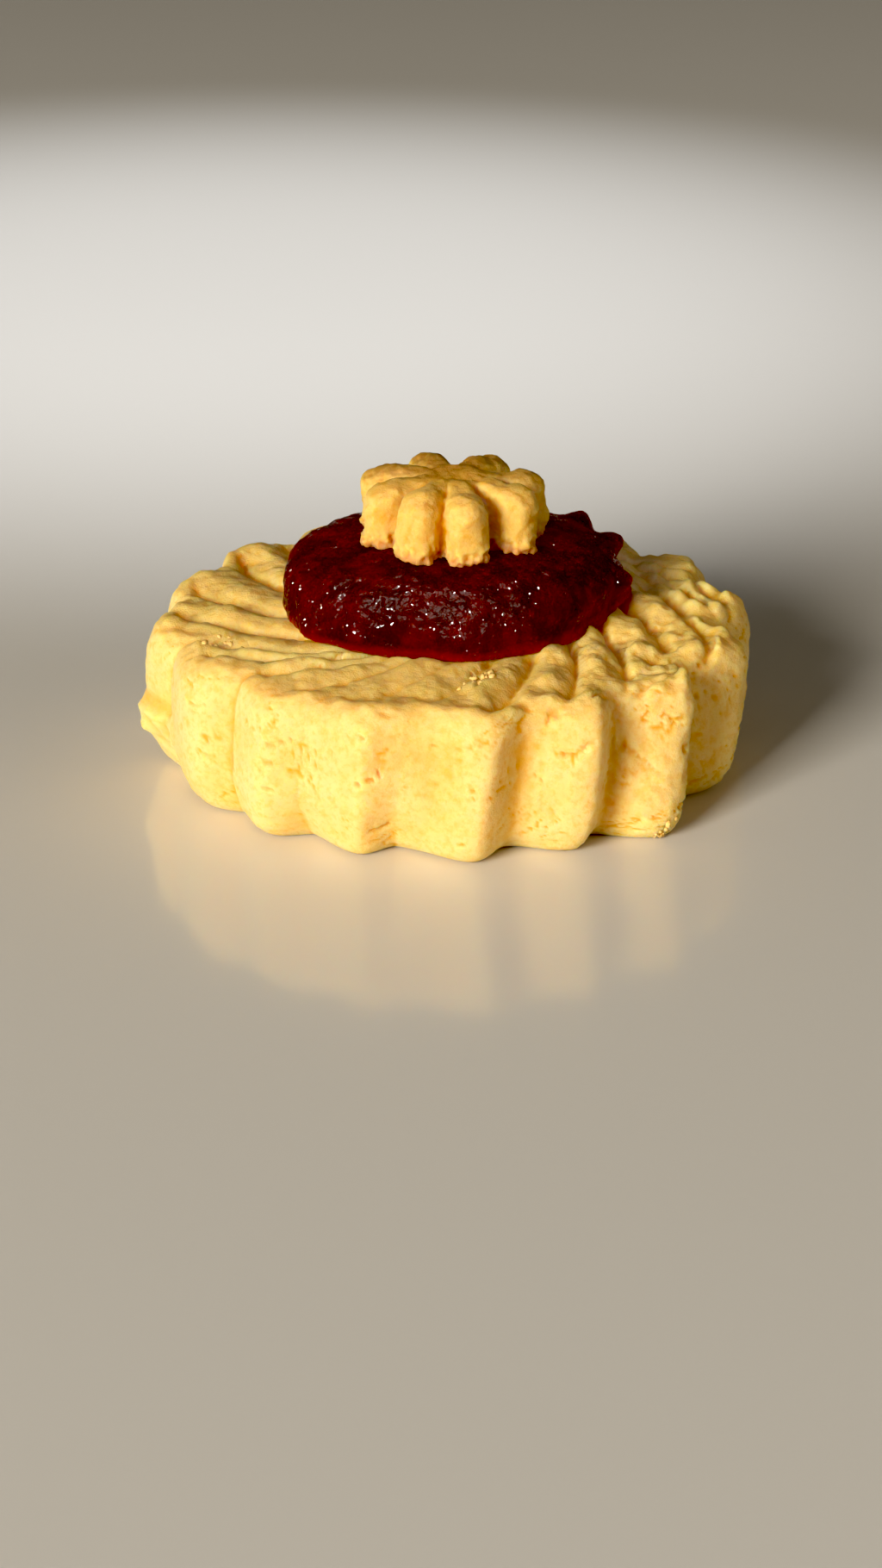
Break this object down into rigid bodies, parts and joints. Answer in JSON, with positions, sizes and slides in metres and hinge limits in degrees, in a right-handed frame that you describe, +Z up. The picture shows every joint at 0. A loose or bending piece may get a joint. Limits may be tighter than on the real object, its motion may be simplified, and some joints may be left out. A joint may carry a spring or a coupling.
{
  "type": "pineapple tart",
  "caption": "Open round tart: fluted shortcrust base with swirled ridges on top, a mound of dark red pineapple jam in its hollow and a small petalled pastry flower on the jam.",
  "frame": {"origin": "centre of the round base's flat underside, on the axis of the mould", "axes": "+Z up through the jam and the flower, -Y towards the side that the picture shows as the front"},
  "size_m": [0.0451, 0.0448, 0.0221],
  "materials": {
    "pastry": "baked shortcrust, pale golden yellow, matt, fine crumb",
    "jam": "cooked fruit jam, dark crimson, grainy and glossy",
    "flower_pastry": "baked shortcrust, pale golden yellow, matt, fine crumb"
  },
  "bodies": {
    "root": {"pastry_base": "pastry", "pineapple_jam": "jam", "pastry_flower": "flower_pastry"}
  },
  "joints": []
}
